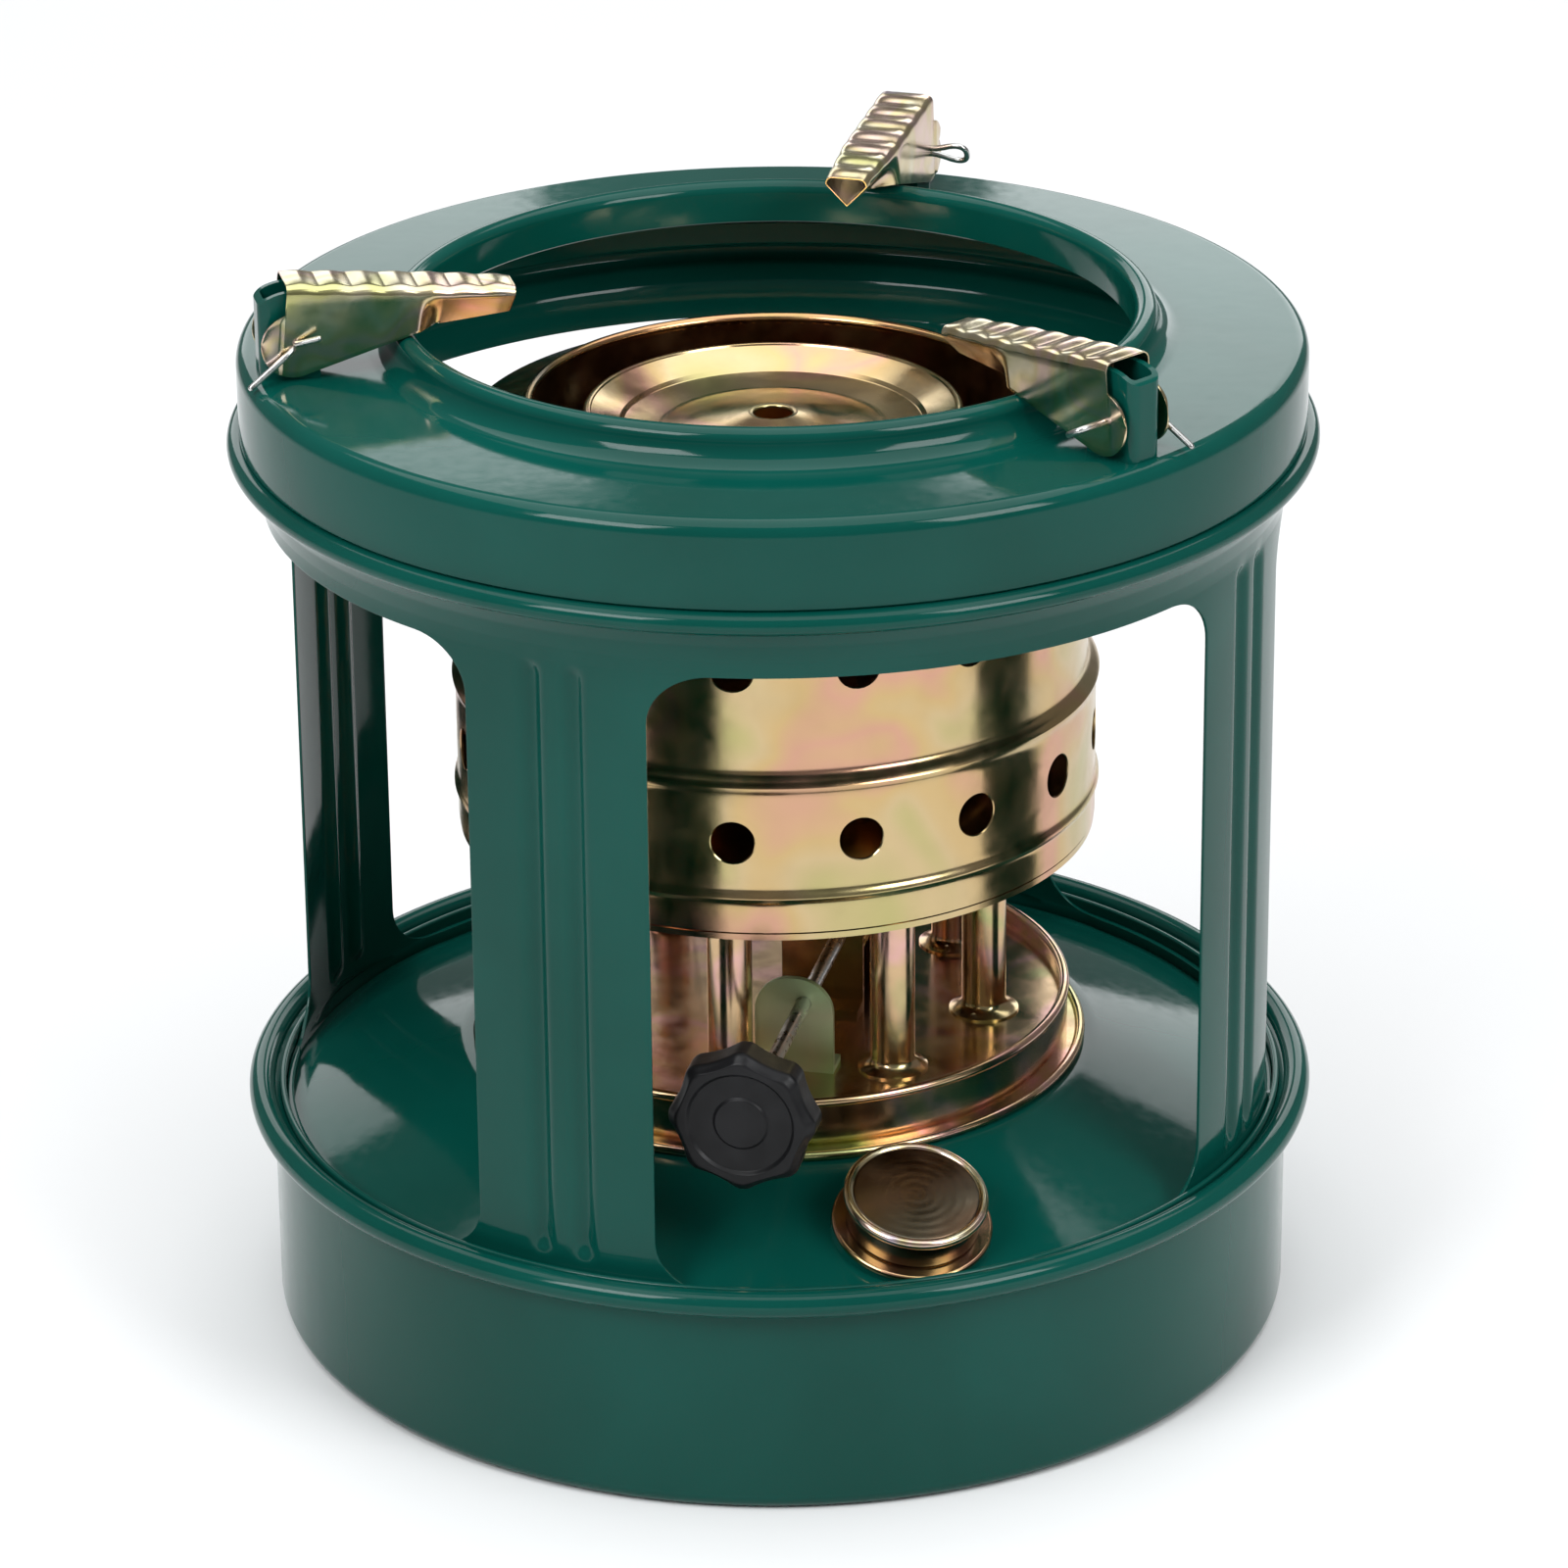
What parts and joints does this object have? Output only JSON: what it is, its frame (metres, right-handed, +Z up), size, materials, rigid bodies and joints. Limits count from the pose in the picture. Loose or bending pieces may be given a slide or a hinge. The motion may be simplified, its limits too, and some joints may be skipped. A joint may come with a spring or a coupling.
{
  "type": "kerosene wick stove",
  "caption": "Round tabletop kerosene stove: fuel tank with filler cap, legged frame, lift-off top ring with folding pot supports, and a perforated burner over knob-raised wicks.",
  "frame": {"origin": "The middle of the tank foot, at the level that the stove stands on.", "axes": "+Z is up, -Y is the front between the two legs with the filler cap, +X is to the right when facing the front."},
  "size_m": [0.21, 0.21, 0.2179],
  "materials": {
    "green_enamel": "glossy bottle-green stove enamel",
    "yellow_zinc": "yellow passivated zinc with a faint rainbow sheen",
    "steel": "plain drawn steel wire and rod",
    "brass": "bright turned brass",
    "black_plastic": "satin black moulded plastic",
    "rubber": "matt black rubber",
    "cotton_wick": "plaited cotton cord"
  },
  "bodies": {
    "tank": {"tank_pan": "green_enamel", "tank_top": "green_enamel", "filler_neck": "yellow_zinc", "leg_frame": "green_enamel", "burner_base": "yellow_zinc", "tube_plate": "yellow_zinc", "guide_plate": "yellow_zinc", "gear_bracket": "yellow_zinc", "wick_tube_1": "yellow_zinc", "wick_tube_2": "yellow_zinc", "wick_tube_3": "yellow_zinc", "wick_tube_4": "yellow_zinc", "wick_tube_5": "yellow_zinc", "wick_tube_6": "yellow_zinc", "wick_tube_7": "yellow_zinc", "wick_tube_8": "yellow_zinc"},
    "top_ring": {"top_ring": "green_enamel", "bracket_1": "green_enamel", "bracket_2": "green_enamel", "bracket_3": "green_enamel", "split_pin_1": "steel", "split_pin_2": "steel", "split_pin_3": "steel"},
    "support_1": {"pot_support_1": "yellow_zinc"},
    "support_2": {"pot_support_2": "yellow_zinc"},
    "support_3": {"pot_support_3": "yellow_zinc"},
    "control": {"control_shaft": "steel", "pinion": "brass", "control_knob": "black_plastic", "knob_bush": "brass", "knob_screw": "brass"},
    "wick_lifter": {"lifter_rack": "brass", "carrier_disc": "steel", "wick_1": "cotton_wick", "wick_2": "cotton_wick", "wick_3": "cotton_wick", "wick_4": "cotton_wick", "wick_5": "cotton_wick", "wick_6": "cotton_wick", "wick_7": "cotton_wick", "wick_8": "cotton_wick"},
    "outer_burner": {"outer_drum": "yellow_zinc", "outer_sleeve": "yellow_zinc"},
    "inner_burner": {"inner_sleeve": "yellow_zinc", "flame_dish": "yellow_zinc"},
    "filler_cap": {"filler_cap": "yellow_zinc", "cap_seal": "rubber"}
  },
  "joints": [
    {"name": "top_ring_lift", "type": "slide", "parent": "tank", "child": "top_ring", "axis": [0, 0, 1], "range_m": [0, 0.06]},
    {"name": "support_1_fold", "type": "hinge", "parent": "top_ring", "child": "support_1", "pos_m": [0.03532, -0.08527, 0.2062], "axis": [0.9239, 0.3827, 0], "range_deg": [0, 110]},
    {"name": "support_2_fold", "type": "hinge", "parent": "top_ring", "child": "support_2", "pos_m": [0.05619, 0.07323, 0.2062], "axis": [-0.7934, 0.6088, 0], "range_deg": [0, 110]},
    {"name": "support_3_fold", "type": "hinge", "parent": "top_ring", "child": "support_3", "pos_m": [-0.09151, 0.01205, 0.2062], "axis": [-0.1305, -0.9914, 0], "range_deg": [0, 110]},
    {"name": "knob_turn", "type": "hinge", "parent": "tank", "child": "control", "pos_m": [0.01084, -0.00717, 0.0756], "axis": [0.5519, 0.8339, 0], "range_deg": [0, 185]},
    {"name": "wick_lift", "type": "slide", "parent": "tank", "child": "wick_lifter", "axis": [0, 0, 1], "range_m": [0, 0.016]},
    {"name": "outer_burner_lift", "type": "slide", "parent": "tank", "child": "outer_burner", "axis": [0, 0, 1], "range_m": [0, 0.02]},
    {"name": "inner_burner_lift", "type": "slide", "parent": "tank", "child": "inner_burner", "axis": [0, 0, 1], "range_m": [0, 0.12]},
    {"name": "cap_pull", "type": "slide", "parent": "tank", "child": "filler_cap", "axis": [-0.0144, -0.3307, 0.9436], "range_m": [0, 0.03]}
  ],
  "couplings": [
    {"joint": "wick_lift", "follows": "knob_turn", "m_per_rad": 0.0049}
  ]
}
